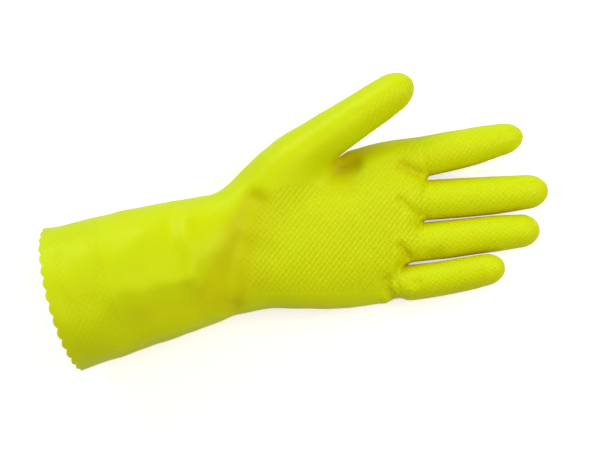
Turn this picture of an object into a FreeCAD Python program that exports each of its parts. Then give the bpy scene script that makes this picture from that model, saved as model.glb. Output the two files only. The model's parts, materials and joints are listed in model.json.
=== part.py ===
import FreeCAD, Part
import math
import os

from FreeCAD import Vector

# A left-hand household rubber glove, filled out as when worn, lying on its back with the palm up.
# Millimetres. Origin on the table under the middle of the palm. +X towards the middle fingertip,
# +Y towards the thumb, +Z up, out of the palm.
#
# The glove is a film of rubber with a cotton flock lining inside it. Both layers are divided at
# the lines where the hand bends. Each length of film is its own solid with its own length of
# lining, and a V-shaped gap at each bend line leaves room for the rubber that would crumple there.

UP = Vector(0, 0, 1)

# ---------------------------------------------------------------- layers and bend gaps
RUBBER = 0.50           # thickness of the rubber film
BOND = 0.05             # adhesive line between film and flock
FLOCK = 0.35            # thickness of the flock lining
LINING_OUTER = RUBBER + BOND
LINING_INNER = LINING_OUTER + FLOCK

SLOT = 0.40             # half width of the gap on a bend line
SPARE_DEG = 1.0         # extra clearance angle beyond each bend limit

# bend limits, degrees: (backwards, forwards). Forwards closes the hand.
WRIST_TURN = (-12.0, 20.0)      # in the plane of the palm, positive towards the thumb
WRIST_FOLD = (-35.0, 45.0)
KNUCKLE_FOLD = (-10.0, 35.0)
FINGER_LIMITS = ((-8.0, 55.0), (-3.0, 80.0), (-2.0, 50.0))      # base, middle, tip
THUMB_LIMITS = ((-15.0, 20.0), (-5.0, 30.0), (-8.0, 50.0))      # base, middle, tip

# ---------------------------------------------------------------- arm and palm
# x, y, heading (degrees from +X), half width, centre height, half thickness, squareness.
# All sections but the last dip 1 mm below the table, and are cut flat there.
ARM = [
    (-178.0, -43.6, 16.0, 44.3, 33.4, 34.4, 2.05),
    (-162.6, -39.3, 16.0, 44.0, 33.0, 34.0, 2.05),
    (-147.2, -34.8, 16.0, 43.4, 32.4, 33.4, 2.05),
    (-129.5, -29.7, 16.0, 42.5, 31.4, 32.4, 2.05),
    (-111.9, -24.8, 16.0, 41.8, 30.2, 31.2, 2.10),
    (-94.3, -20.1, 15.5, 40.5, 28.6, 29.6, 2.15),
    (-77.0, -15.7, 14.5, 38.7, 26.8, 27.8, 2.20),
    (-60.0, -11.0, 13.0, 38.0, 25.2, 26.2, 2.25),
    (-42.0, -6.0, 8.0, 39.2, 23.6, 24.6, 2.35),
    (-20.0, -2.4, 2.0, 42.8, 21.6, 22.6, 2.45),
    (5.0, 0.8, -3.0, 46.1, 19.4, 20.4, 2.50),
    (30.0, 5.5, -7.0, 49.0, 17.0, 18.0, 2.55),
    (50.5, 8.8, -10.0, 49.8, 14.9, 14.5, 2.50),
]
ARM_POINTS = 24         # points round each arm section

# bend line places: x, y, height, heading
WRIST_TURN_AT = (-90.0, -19.0, 30.0, 15.5)
WRIST_FOLD_AT = (-62.0, -11.5, 26.0, 14.0)
KNUCKLE_AT = (33.5, 6.1, 24.0, -10.0)

# ---------------------------------------------------------------- fingers and thumb
# stations: x, y, centre height, half width, half thickness; then the length of the rounded end
FINGERS = {
    "index": ([
        (34.0, 42.0, 16.4, 12.8, 10.4), (45.0, 45.2, 16.6, 12.8, 10.8),
        (57.3, 48.1, 17.0, 12.4, 11.0), (71.9, 51.1, 17.6, 12.0, 10.8),
        (86.6, 54.2, 18.4, 11.5, 10.4), (95.0, 56.2, 19.0, 10.8, 9.8),
        (104.0, 58.3, 19.6, 9.8, 9.0)], 14.6),
    "middle": ([
        (36.0, 19.4, 16.4, 11.4, 10.4), (48.0, 20.6, 16.8, 12.0, 11.0),
        (64.7, 22.0, 17.6, 12.1, 11.2), (86.6, 23.4, 19.6, 11.8, 10.9),
        (101.3, 24.7, 21.2, 11.3, 10.5), (110.0, 25.5, 22.2, 10.9, 10.1),
        (119.5, 26.5, 23.2, 10.4, 9.6)], 13.8),
    "ring": ([
        (32.0, -6.6, 16.2, 11.2, 10.2), (44.0, -5.6, 16.8, 11.7, 10.8),
        (57.0, -4.6, 17.8, 11.8, 10.9), (72.0, -2.9, 19.6, 11.6, 10.7),
        (86.6, -1.0, 21.8, 11.2, 10.4), (101.3, 0.8, 24.2, 10.9, 10.2),
        (115.0, 2.6, 26.4, 10.1, 9.6)], 12.8),
    "little": ([
        (30.0, -31.2, 16.2, 9.9, 9.4), (40.0, -30.2, 17.0, 10.5, 9.9),
        (57.3, -28.3, 19.6, 10.5, 10.0), (72.0, -26.1, 22.6, 10.3, 9.8),
        (84.0, -23.7, 25.4, 10.1, 9.6), (93.5, -21.6, 27.6, 9.6, 9.2)], 12.8),
}
THUMB = ([
    (-47.0, 5.0, 24.0, 22.0, 21.0), (-39.2, 23.2, 26.0, 20.4, 20.0),
    (-24.3, 42.4, 28.6, 17.3, 18.2), (-7.7, 55.9, 31.2, 14.5, 15.4),
    (9.0, 66.9, 33.0, 13.4, 13.6), (20.8, 74.7, 34.0, 12.8, 12.8),
    (29.2, 80.4, 34.6, 12.3, 12.2), (35.6, 84.7, 35.0, 11.8, 11.7)], 16.2)
DIGIT_POINTS = 16       # points round each digit section
CAP_DEGS = (24, 42, 57, 69, 78, 85)     # latitudes of the sections in the rounded end

# bend lines, as x along each digit: base, middle, tip
FINGER_BENDS = {
    "index": (67.5, 84.0, 100.5),
    "middle": (68.5, 88.5, 108.5),
    "ring": (65.5, 85.0, 104.0),
    "little": (54.5, 70.0, 85.0),
}
THUMB_BENDS = (9.6, 20.6, 33.6)
FINGER_LIFT = 3.6       # bend line above the centre line, as a finger folds nearer its palm side
THUMB_LIFT = 2.5        # the same for the thumb, towards its pad
THUMB_TWISTS = (0.0, 38.0, 38.0)    # degrees the pad side is turned from facing up, at each bend

# ---------------------------------------------------------------- mouth of the cuff
MOUTH_AT = (-161.3, -38.9, 15.2)    # x, y, heading
MOUTH_STATION = ARM[1]  # the arm section that sizes the mouth
MOUTH_LEAN_DEG = 6.0    # the palm side of the mouth reaches a little further back
MOUTH_CUT_LENGTH = 60   # how far the cutter runs back from the mouth
MOUTH_CUT_REACH = 90    # how far it runs each way across the mouth
SCALLOPS = 32
SCALLOP_DEPTH = 2.0
SCALLOP_WIDTH = 5.0
SCALLOP_BEHIND = 0.5    # each notch starts this far behind the mouth
SCALLOP_REACH = 7       # and runs this far each way through the wall
EDGE_STEPS = 2000       # steps used to measure round the mouth

# ---------------------------------------------------------------- cutter sizes
# gap cutters: (half length along the bend axis, reach each way from the bend line)
WRIST_TURN_CUTTER = (80, 60)
WRIST_FOLD_CUTTER = (80, 40)
KNUCKLE_CUTTER = (62, 40)
OPENING_CUTTER = (60, 45)
FINGER_CUTTERS = ((40, 30), (40, 30), (40, 30))
THUMB_CUTTERS = ((90, 70), (30, 25), (30, 25))
# how far a base gap is carried on along the digit to clear everything on one side
OPENING_FAR = 200
FINGER_NEAR = -120
THUMB_NEAR = -160
TABLE_BLOCK = (700, 400, 100)
# solids smaller than this, in mm3, are slivers
HAND_SLIVER = 50
DIGIT_SLIVER = 5


# ---------------------------------------------------------------- shape helpers
def unit(vector):
    vector.normalize()
    return vector


def leftward(direction):
    """The level unit vector to the left of a direction."""
    return unit(Vector(-direction.y, direction.x, 0))


def heading(degrees):
    """Forward and leftward unit vectors of a heading from +X."""
    a = math.radians(degrees)
    return Vector(math.cos(a), math.sin(a), 0), Vector(-math.sin(a), math.cos(a), 0)


def section(centre, side, up, half_width, half_thickness, squareness, count):
    """A closed smooth section: an ellipse at squareness 2, boxier above that."""
    points = []
    for k in range(count):
        angle = 2 * math.pi * k / count
        c, s = math.cos(angle), math.sin(angle)
        across = math.copysign(abs(c) ** (2.0 / squareness), c) * half_width
        height = math.copysign(abs(s) ** (2.0 / squareness), s) * half_thickness
        points.append(centre + side * across + up * height)
    curve = Part.BSplineCurve()
    curve.interpolate(Points=points, PeriodicFlag=True)
    return Part.Wire([curve.toShape()])


def prism(profile, centre, forward, up, axis, half_length):
    """Extrudes a polygon of (along forward, along up) both ways along axis."""
    points = [centre + forward * a + up * b - axis * half_length for a, b in profile]
    wire = Part.makePolygon(points + [points[0]])
    return Part.Face(wire).extrude(axis * (2 * half_length))


def split(shape, cutters, names, sliver):
    """Cuts a shape into solids, named in order of increasing x."""
    solids = [s for s in shape.cut(cutters).Solids if s.Volume > sliver]
    if len(solids) != len(names):
        raise RuntimeError("%d solids for %s" % (len(solids), names))
    solids.sort(key=lambda s: s.CenterOfMass.x)
    return dict(zip(names, solids))


# ---------------------------------------------------------------- solid forms
def arm_solid(inset):
    wires = []
    for station in ARM:
        x, y, degrees, half_width, z, half_thickness, squareness = station
        forward, side = heading(degrees)
        # the front wall is set back by the inset
        setback = inset if station is ARM[-1] else 0.0
        wires.append(section(Vector(x, y, z) - forward * setback, side, UP,
                             half_width - inset, half_thickness - inset, squareness, ARM_POINTS))
    return Part.makeLoft(wires, True, False)


def digit_solid(digit, inset):
    stations, cap_length = digit
    centres = [Vector(*station[:3]) for station in stations]
    last = len(centres) - 1
    wires = []

    def add_section(centre, direction, station, scale):
        side = leftward(direction)
        wires.append(section(centre, side, direction.cross(side), (station[3] - inset) * scale,
                             (station[4] - inset) * scale, 2.0, DIGIT_POINTS))

    for i, (centre, station) in enumerate(zip(centres, stations)):
        direction = unit(centres[min(i + 1, last)] - centres[max(i - 1, 0)])
        add_section(centre, direction, station, 1.0)
    # the rounded end carries on from the last station
    for degrees in CAP_DEGS:
        angle = math.radians(degrees)
        advance = (cap_length - inset) * math.sin(angle)
        add_section(centre + direction * advance, direction, station, math.cos(angle))
    return Part.makeLoft(wires, True, False)


# ---------------------------------------------------------------- bends
class Bend:
    """A bend line through centre along axis. Folding forwards closes the gap on the up side."""

    def __init__(self, centre, forward, up, axis, limits):
        self.centre = centre
        self.forward = forward
        self.up = up
        self.axis = axis
        self.limits = limits

    def gap(self, cutter, near=None, far=None):
        """The V gap. near or far given: that side runs out to that distance."""
        half_length, reach = cutter
        backwards, forwards = self.limits
        top = SLOT + reach * math.tan(math.radians(forwards / 2.0 + SPARE_DEG))
        low = SLOT + reach * math.tan(math.radians(-backwards / 2.0 + SPARE_DEG))
        if near is None:
            behind = [(-top, reach), (-SLOT, 0), (-low, -reach)]
        else:
            behind = [(near, reach), (near, -reach)]
        if far is None:
            ahead = [(low, -reach), (SLOT, 0), (top, reach)]
        else:
            ahead = [(far, -reach), (far, reach)]
        return prism(behind + ahead, self.centre, self.forward, self.up, self.axis, half_length)


def point_at_x(digit, x):
    """Centre point and level direction of a digit where its centre line passes x."""
    stations = digit[0]
    for a, b in zip(stations, stations[1:]):
        if x <= b[0]:
            break
    k = (x - a[0]) / (b[0] - a[0])
    point = Vector(*[a[i] + (b[i] - a[i]) * k for i in range(3)])
    return point, unit(Vector(b[0] - a[0], b[1] - a[1], 0))


def finger_bends(name):
    bends = []
    for x, limits in zip(FINGER_BENDS[name], FINGER_LIMITS):
        point, forward = point_at_x(FINGERS[name], x)
        bends.append(Bend(point + UP * FINGER_LIFT, forward, UP, leftward(forward), limits))
    return bends


def thumb_bends():
    bends = []
    for x, limits, degrees in zip(THUMB_BENDS, THUMB_LIMITS, THUMB_TWISTS):
        point, forward = point_at_x(THUMB, x)
        twist = math.radians(degrees)
        pad = UP * math.cos(twist) - leftward(forward) * math.sin(twist)
        bends.append(Bend(point + pad * THUMB_LIFT, forward, pad, forward.cross(pad), limits))
    return bends


def wrist_turn_gap():
    x, y, z, degrees = WRIST_TURN_AT
    forward, side = heading(degrees)
    return Bend(Vector(x, y, z), forward, side, UP, WRIST_TURN).gap(WRIST_TURN_CUTTER)


def cross_gap(place, limits, cutter):
    """The gap of a fold running across the whole hand."""
    x, y, z, degrees = place
    forward, side = heading(degrees)
    return Bend(Vector(x, y, z), forward, UP, side, limits).gap(cutter)


# ---------------------------------------------------------------- mouth
def mouth_cutters():
    """The block behind the mouth, then the notches spaced evenly round its edge."""
    x, y, degrees = MOUTH_AT
    half_width, z, half_thickness = MOUTH_STATION[3:6]
    level, side = heading(degrees)
    lean = math.radians(MOUTH_LEAN_DEG)
    forward = level * math.cos(lean) + UP * math.sin(lean)
    up = UP * math.cos(lean) - level * math.sin(lean)
    centre = Vector(x, y, z)
    block = [(-MOUTH_CUT_LENGTH, -MOUTH_CUT_REACH), (0, -MOUTH_CUT_REACH),
             (0, MOUTH_CUT_REACH), (-MOUTH_CUT_LENGTH, MOUTH_CUT_REACH)]
    cutters = [prism(block, centre, forward, up, side, MOUTH_CUT_REACH)]

    angles = [2 * math.pi * k / EDGE_STEPS for k in range(EDGE_STEPS + 1)]
    edge = [(half_width * math.cos(a), half_thickness * math.sin(a)) for a in angles]
    distances = [0.0]
    for a, b in zip(edge, edge[1:]):
        distances.append(distances[-1] + math.hypot(b[0] - a[0], b[1] - a[1]))
    for n in range(SCALLOPS):
        target = distances[-1] * (n + 0.5) / SCALLOPS
        across, height = next(p for p, d in zip(edge, distances) if d >= target)
        outward = unit(side * (across / half_width ** 2) + up * (height / half_thickness ** 2))
        half_base = forward.cross(outward) * (SCALLOP_WIDTH / 2)
        start = centre + side * across + up * height - outward * SCALLOP_REACH
        base = start - forward * SCALLOP_BEHIND
        corners = [base - half_base, base + half_base, start + forward * SCALLOP_DEPTH]
        triangle = Part.Face(Part.makePolygon(corners + [corners[0]]))
        cutters.append(triangle.extrude(outward * (2 * SCALLOP_REACH)))
    return cutters


# ---------------------------------------------------------------- pieces of one layer
def hand_solid(inset):
    """Arm and palm with the root of every digit, cut flat underneath."""
    digits = [(FINGERS[name], finger_bends(name)[0]) for name in FINGERS]
    digits.append((THUMB, thumb_bends()[0]))
    roots = [digit_solid(digit, inset).cut(bend.gap(OPENING_CUTTER, far=OPENING_FAR))
             for digit, bend in digits]
    length, width, depth = TABLE_BLOCK
    corner = Vector(-length / 2, -width / 2, inset - depth)
    return arm_solid(inset).fuse(roots).cut(Part.makeBox(length, width, depth, corner))


def hand_pieces(outer, inner):
    shell = hand_solid(outer).cut(hand_solid(inner)).cut(mouth_cutters())
    gaps = [wrist_turn_gap(),
            cross_gap(WRIST_FOLD_AT, WRIST_FOLD, WRIST_FOLD_CUTTER),
            cross_gap(KNUCKLE_AT, KNUCKLE_FOLD, KNUCKLE_CUTTER)]
    return split(shell, gaps, ("cuff", "wrist", "palm", "knuckles"), HAND_SLIVER)


def digit_pieces(name, digit, bends, cutters, near):
    """Base, middle and tip of a digit. The base gap also clears the root, out to near."""
    tube = digit_solid(digit, outer_inset(digit, 0)) if False else None
    return tube


def digit_pieces(name, digit, bends, cutters, near, outer, inner):
    """Base, middle and tip of a digit. The first gap also clears the root, back to near."""
    tube = digit_solid(digit, outer).cut(digit_solid(digit, inner))
    gaps = [bend.gap(cutter, near=distance)
            for bend, cutter, distance in zip(bends, cutters, (near, None, None))]
    names = [name + part for part in ("_base", "_middle", "_tip")]
    return split(tube, gaps, names, DIGIT_SLIVER)


def layer(outer, inner):
    """Every piece of the layer between the insets outer and inner: {name: solid}."""
    pieces = hand_pieces(outer, inner)
    for name, finger in FINGERS.items():
        pieces.update(digit_pieces(name, finger, finger_bends(name), FINGER_CUTTERS,
                                   FINGER_NEAR, outer, inner))
    pieces.update(digit_pieces("thumb", THUMB, thumb_bends(), THUMB_CUTTERS,
                               THUMB_NEAR, outer, inner))
    return pieces


def main():
    os.makedirs("parts", exist_ok=True)
    layers = {"rubber": layer(0.0, RUBBER), "lining": layer(LINING_OUTER, LINING_INNER)}
    for kind, pieces in layers.items():
        for name, solid in pieces.items():
            solid.exportStep("parts/%s_%s.step" % (name, kind))


main()
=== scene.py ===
"""A left-hand household rubber glove lying palm up: a yellow film with a cotton flock lining.

The fingers point along +X, the thumb is on the +Y side, the mouth of the cuff is at -X and the
palm faces +Z. Shapes are in millimetres in the CAD frame; the meshes are in metres.

Film and lining are offset surfaces of one smooth distance field. Each region of the glove is
meshed, cut at the seams between bend zones and given thickness; cuff and palm hang on CAD bodies.
"""
import bpy
import json
import math
import numpy as np
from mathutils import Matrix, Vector

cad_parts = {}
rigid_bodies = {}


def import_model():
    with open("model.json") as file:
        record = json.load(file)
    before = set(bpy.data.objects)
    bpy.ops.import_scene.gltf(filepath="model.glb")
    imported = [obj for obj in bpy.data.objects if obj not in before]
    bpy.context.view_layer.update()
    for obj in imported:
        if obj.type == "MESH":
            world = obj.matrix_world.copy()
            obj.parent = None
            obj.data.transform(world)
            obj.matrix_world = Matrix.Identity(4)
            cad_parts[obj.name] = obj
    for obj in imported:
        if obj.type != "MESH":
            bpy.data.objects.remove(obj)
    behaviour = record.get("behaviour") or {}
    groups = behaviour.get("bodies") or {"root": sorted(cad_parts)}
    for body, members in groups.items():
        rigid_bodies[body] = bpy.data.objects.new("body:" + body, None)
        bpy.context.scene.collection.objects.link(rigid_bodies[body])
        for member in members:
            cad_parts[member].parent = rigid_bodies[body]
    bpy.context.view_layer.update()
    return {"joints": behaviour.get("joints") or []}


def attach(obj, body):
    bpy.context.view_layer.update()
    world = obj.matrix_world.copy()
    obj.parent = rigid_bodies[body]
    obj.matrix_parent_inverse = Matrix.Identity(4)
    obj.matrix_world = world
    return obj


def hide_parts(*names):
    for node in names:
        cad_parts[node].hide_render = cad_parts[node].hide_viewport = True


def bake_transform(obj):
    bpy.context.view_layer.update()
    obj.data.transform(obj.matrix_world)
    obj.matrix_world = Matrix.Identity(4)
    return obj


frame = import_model()
scene = bpy.context.scene
JOINT = {joint["name"]: joint for joint in frame["joints"]}

# ================================================================ shape tables (mm, degrees)
RUBBER, BOND, FLOCK = 0.50, 0.05, 0.35    # layer thicknesses, from the outside in

# x, y, heading, half width, centre height, half thickness, squareness (2 is an ellipse)
ARM_COLUMNS = "x y heading half_width z half_thick square"
ARM_STATIONS = [
    (-186.0, -45.9, 16.0, 44.5, 33.6, 34.6, 2.05),
    (-178.0, -43.6, 16.0, 44.3, 33.4, 34.4, 2.05),
    (-162.6, -39.3, 16.0, 44.0, 33.0, 34.0, 2.05),
    (-147.2, -34.8, 16.0, 43.4, 32.4, 33.4, 2.05),
    (-129.5, -29.7, 16.0, 42.5, 31.4, 32.4, 2.05),
    (-111.9, -24.8, 16.0, 41.8, 30.2, 31.2, 2.10),
    (-94.3, -20.1, 15.5, 40.5, 28.6, 29.6, 2.15),
    (-77.0, -15.7, 14.5, 38.7, 26.8, 27.8, 2.20),
    (-60.0, -11.0, 13.0, 38.0, 25.2, 26.2, 2.25),
    (-42.0, -6.0, 8.0, 39.2, 23.6, 24.6, 2.35),
    (-20.0, -2.4, 2.0, 42.8, 21.6, 22.6, 2.45),
    (5.0, 0.8, -3.0, 46.1, 19.4, 20.4, 2.50),
    (27.0, 4.9, -8.0, 48.9, 17.2, 18.0, 2.50),
    (42.0, 7.8, -13.0, 48.6, 15.8, 16.0, 2.40),
]
ARM_CAP = 15.0      # length of the rounded end past the last station
ARM_REACH = 75.0    # the arm is left out of the field beyond this x

# per digit: stations of x, y, z, half width, half thickness; then the length of the rounded tip
DIGIT_COLUMNS = "x y z half_width half_thick"
DIGIT_STATIONS = {
    "index": ([
        (18.0, 38.2, 16.6, 14.2, 11.4), (34.0, 43.0, 16.6, 14.2, 11.0),
        (45.0, 45.6, 16.6, 13.4, 10.9), (57.3, 48.1, 17.0, 12.6, 11.0),
        (71.9, 51.1, 17.6, 12.2, 10.8), (86.6, 54.2, 18.4, 11.6, 10.4),
        (95.0, 56.2, 19.0, 10.9, 9.8), (104.0, 58.3, 19.6, 9.8, 9.0)], 14.6),
    "middle": ([
        (30.0, 18.8, 16.4, 11.6, 10.4), (48.0, 20.6, 16.8, 12.1, 11.0),
        (64.7, 21.8, 17.6, 12.3, 11.2), (86.6, 23.2, 19.6, 12.0, 10.9),
        (101.3, 24.4, 21.2, 11.6, 10.5), (110.0, 25.2, 22.2, 11.1, 10.1),
        (119.5, 26.2, 23.2, 10.5, 9.6)], 13.8),
    "ring": ([
        (28.0, -6.8, 16.2, 11.4, 10.2), (44.0, -5.5, 16.8, 11.9, 10.8),
        (57.0, -4.3, 17.8, 11.8, 10.9), (72.0, -2.7, 19.6, 11.65, 10.7),
        (86.6, -0.85, 21.8, 11.3, 10.4), (101.3, 0.9, 24.2, 11.0, 10.2),
        (115.0, 2.4, 26.4, 10.2, 9.6)], 12.6),
    "little": ([
        (26.0, -31.4, 16.2, 10.4, 9.4), (40.0, -30.3, 17.0, 11.0, 9.9),
        (57.3, -28.3, 19.6, 10.8, 10.0), (72.0, -26.0, 22.8, 10.5, 9.8),
        (84.0, -23.5, 26.0, 10.2, 9.6), (93.5, -21.3, 28.6, 9.7, 9.2)], 12.9),
    "thumb": ([
        (-47.0, 5.0, 24.0, 22.0, 21.0), (-39.2, 23.2, 26.0, 20.4, 20.0),
        (-24.3, 42.4, 28.6, 17.3, 18.2), (-7.7, 55.9, 31.2, 14.5, 15.4),
        (9.0, 66.9, 33.0, 13.4, 13.6), (20.8, 74.7, 34.0, 12.8, 12.8),
        (29.2, 80.4, 34.6, 12.3, 12.2), (35.6, 84.7, 35.0, 11.8, 11.7)], 16.2),
}
DIGIT_NAMES = list(DIGIT_STATIONS)
FINGERS = DIGIT_NAMES[:4]
DIGIT_PARTS = ("base", "middle", "tip")

# the mouth is a plane across the cuff, with a scalloped edge
MOUTH_CENTRE = np.array([-161.3, -38.9, 33.0])
MOUTH_HEADING, MOUTH_LEAN = 15.2, 6.0
MOUTH_HALF_WIDTH, MOUTH_HALF_HEIGHT = 44.0, 34.0
SCALLOPS, SCALLOP_DEPTH = 32, 1.7

# folds on the palm side: points (x, y), depth (negative is a ridge), width,
# lowest z, and the height over which the fold fades in above it
FOLDS = [
    # thumb crotch hollow
    ([(7.0, 41.0), (13.5, 43.0)], 2.6, 4.0, 16, 8),
    ([(4.0, 34.0), (13.0, 38.0)], 1.6, 7.5, 16, 8),
    ([(10.0, 40.0), (13.0, 27.0)], 1.0, 5.5, 16, 8),
    # creases at the openings between the fingers
    ([(43.5, 42.6), (49.5, 39.4), (54.5, 37.2)], 1.6, 2.2, 12, 10),
    ([(42.0, 40.0), (52.0, 37.0)], 1.3, 4.4, 12, 10),
    ([(42.5, 21.0), (48.0, 15.6), (54.5, 12.0)], 1.4, 1.9, 12, 10),
    ([(43.0, -7.0), (46.0, -11.2), (47.5, -12.8)], 2.0, 1.9, 12, 10),
    # hollow at the root of the little finger, curling under it
    ([(34.6, -27.5), (35.2, -33.0), (38.2, -37.6), (43.0, -40.0)], 2.5, 2.5, 10, 8),
    ([(41.4, -19.0), (40.4, -27.0), (41.6, -33.2)], 1.0, 1.3, 16, 8),
    ([(47.0, -31.5), (55.0, -29.5)], -0.6, 5.0, 20, 8),
    # dimples on the ring and little fingers
    ([(62.0, -12.2), (66.0, -11.0)], 1.3, 2.4, 16, 8),
    ([(51.0, -29.6), (53.0, -29.0)], 0.7, 2.0, 20, 8),
    # wrist: the heel of the palm steps down from a soft crest on the wrist
    ([(-45.5, 20.0), (-51.0, 4.0), (-56.5, -13.0), (-59.0, -30.0), (-59.5, -40.0)],
     4.0, 5.0, 12, 16),
    ([(-34.0, 14.0), (-40.0, 0.0), (-44.0, -16.0), (-46.0, -30.0)], 1.7, 10.0, 20, 16),
    ([(-72.0, -34.0), (-64.5, -16.0), (-59.0, 6.0)], 1.7, 7.5, 22, 16),
    # soft crest on the cuff, the slack before it, and the cuff turning down below it
    ([(-86.0, 9.0), (-83.6, -6.0), (-80.6, -24.0)], -2.2, 4.4, 30, 14),
    ([(-95.5, 7.0), (-93.5, -10.0), (-91.5, -20.0)], 1.0, 4.2, 30, 14),
    ([(-118.0, -30.5), (-101.0, -28.5), (-86.0, -26.5)], -0.9, 4.6, 30, 14),
    ([(-116.0, -48.0), (-92.0, -45.0), (-74.0, -38.0), (-64.0, -24.0)], 1.8, 8.0, 20, 16),
]
FOLD_REACH = 3.2    # widths beyond which a fold is not felt

# slow undulation of soft rubber, a fixed sum of waves: rates along x, y, z; phase; height
WAVES = [
    ((0.062, 0.051, 0.043), 0.3, 0.30), ((-0.047, 0.083, 0.030), 1.7, 0.24),
    ((0.105, -0.038, 0.061), 4.1, 0.20), ((0.031, 0.120, -0.082), 2.6, 0.16),
    ((-0.128, 0.064, 0.090), 5.2, 0.12), ((0.150, 0.131, -0.040), 0.9, 0.09),
]
WAVE_RATE, WAVE_HEIGHT = 2.2, 0.8    # factors on all the rates and heights

# blend lengths: thumb to arm, fingers to arm, finger to finger, and into the flat underside
THUMB_BLEND, FINGER_BLEND, WEB_BLEND, FLOOR_BLEND = 12.0, 6.0, 1.6, 3.0
FAR = 30.0           # a digit's distance is not followed beyond this
STUB = 3.0           # how far finger stubs reach past their root seams
NEWTON_STEPS = 4     # steps to find the nearest point of a centre line


# ================================================================ smooth tables
def dense(stations, step=0.5):
    """Smooth curves through the stations' columns, as rows at even steps of x."""
    points = np.array(stations, float)
    x = points[:, 0]
    even = np.arange(x[0], x[-1] + step * 0.5, step)
    tangent = np.zeros_like(points)
    gap = np.diff(x)[:, None]
    rate = np.diff(points, axis=0) / gap
    tangent[1:-1] = (rate[:-1] * gap[1:] + rate[1:] * gap[:-1]) / (x[2:] - x[:-2])[:, None]
    tangent[0], tangent[-1] = rate[0], rate[-1]
    k = np.clip(np.searchsorted(x, even, side="right") - 1, 0, len(x) - 2)
    span = np.diff(x)[k]
    t = ((even - x[k]) / span)[:, None]
    span = span[:, None]
    rows = ((2 * t ** 3 - 3 * t ** 2 + 1) * points[k]
            + (t ** 3 - 2 * t ** 2 + t) * span * tangent[k]
            + (-2 * t ** 3 + 3 * t ** 2) * points[k + 1]
            + (t ** 3 - t ** 2) * span * tangent[k + 1])
    rows[:, 0] = even
    return rows


class Table:
    """Dense rows over x; each column is also an attribute under its name."""
    def __init__(self, stations, columns):
        self.rows = dense(stations)
        for name, column in zip(columns.split(), self.rows.T):
            setattr(self, name, column)
        self.start, self.end = self.rows[0, 0], self.rows[-1, 0]
        self.step = self.rows[1, 0] - self.rows[0, 0]
        self.slope = np.gradient(self.rows, self.step, axis=0)

    def at(self, station):
        """The row before each station, and the part of a step past it."""
        row = np.clip((station - self.start) / self.step, 0, len(self.rows) - 1.001)
        index = row.astype(np.int32)
        return index, row - index


def lerp(values, place):
    """Values at a place given by Table.at."""
    index, part = place
    if values.ndim > 1:
        part = part[:, None]
    return values[index] + (values[index + 1] - values[index]) * part


def smooth(x, start, end):
    """Soft step from 0 at start to 1 at end."""
    t = np.clip((x - start) / (end - start), 0, 1)
    return t * t * (3 - 2 * t)


def smin(first, second, blend):
    """Soft minimum."""
    share = np.clip(0.5 + 0.5 * (second - first) / blend, 0, 1)
    return second + (first - second) * share - blend * share * (1 - share)


# ================================================================ the arm: cuff, wrist and palm
ARM = Table(ARM_STATIONS, ARM_COLUMNS)
ARM.cos = np.cos(np.radians(ARM.heading))
ARM.sin = np.sin(np.radians(ARM.heading))


def arm_local(points):
    """Station, sideways, upward and past-the-end distances of points (3, n), and the place."""
    x, y, z = points
    station = np.clip(x, ARM.start, ARM.end)
    for turn in range(NEWTON_STEPS + 1):
        place = ARM.at(station)
        cosine, sine = lerp(ARM.cos, place), lerp(ARM.sin, place)
        off_x, off_y = x - station, y - lerp(ARM.y, place)
        ahead = off_x * cosine + off_y * sine
        if turn < NEWTON_STEPS:
            rate = cosine + sine * ARM.slope[place[0], 1]
            station = np.clip(station + ahead / rate, ARM.start, ARM.end)
    side = -off_x * sine + off_y * cosine
    return station, side, z - lerp(ARM.z, place), ahead, place


def arm_field(points):
    station, side, up, ahead, place = arm_local(points)
    width, thick = lerp(ARM.half_width, place), lerp(ARM.half_thick, place)
    square = lerp(ARM.square, place)
    part_side, part_up = np.abs(side / width) + 1e-6, np.abs(up / thick) + 1e-6
    power_side, power_up = part_side ** square, part_up ** square
    radius = (power_side + power_up) ** (1.0 / square)
    scale = radius ** (1 - square)
    slope_side = scale * power_side / part_side / width
    slope_up = scale * power_up / part_up / thick
    slope2 = slope_side * slope_side + slope_up * slope_up
    # the rounded end is shorter on the little finger's side
    cap = ARM_CAP - 4.0 * smooth(-side, 8, 25)
    past = np.where(station > 0, np.maximum(ahead, 0) / cap, 0.0)
    whole = np.sqrt(radius * radius + past * past)
    slope2 = (radius * radius * slope2 + past * past / cap ** 2) / (whole * whole)
    return (whole - 1) / np.sqrt(slope2)


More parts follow.
